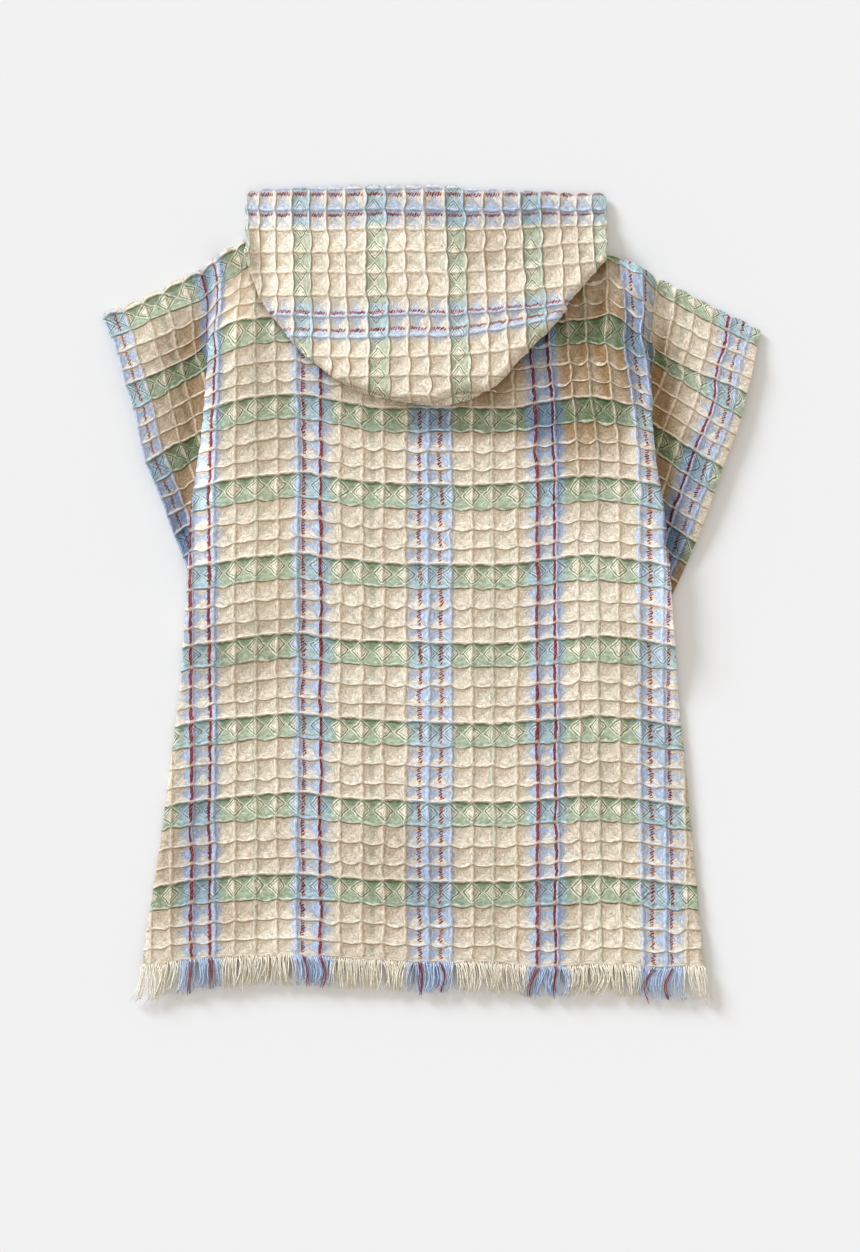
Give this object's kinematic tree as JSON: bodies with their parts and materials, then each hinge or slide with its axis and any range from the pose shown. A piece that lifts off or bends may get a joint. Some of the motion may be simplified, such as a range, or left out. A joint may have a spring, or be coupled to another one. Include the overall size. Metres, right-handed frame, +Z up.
{
  "type": "hooded towel",
  "caption": "Child's hooded poncho towel in checked waffle cloth, lying flat with its back up and the hood folded down, with short sleeves and a fringed hem.",
  "frame": {"origin": "middle of the garment's box on the surface it lies on", "axes": "+Z up out of the back of the towel, +Y towards the hood, +X across to the right sleeve as it lies"},
  "size_m": [0.515, 0.638, 0.0181],
  "materials": {
    "waffle_body": "cotton waffle weave in cream with blue, sage and rust threads",
    "waffle_hood": "the same waffle weave with its stripes across",
    "fringe": "cut warp threads"
  },
  "bodies": {
    "root": {"back_panel": "waffle_body", "front_panel": "waffle_body", "hood_outer": "waffle_hood", "hood_under": "waffle_hood", "hem_fringe_back": "fringe", "hem_fringe_front": "fringe"}
  },
  "joints": []
}
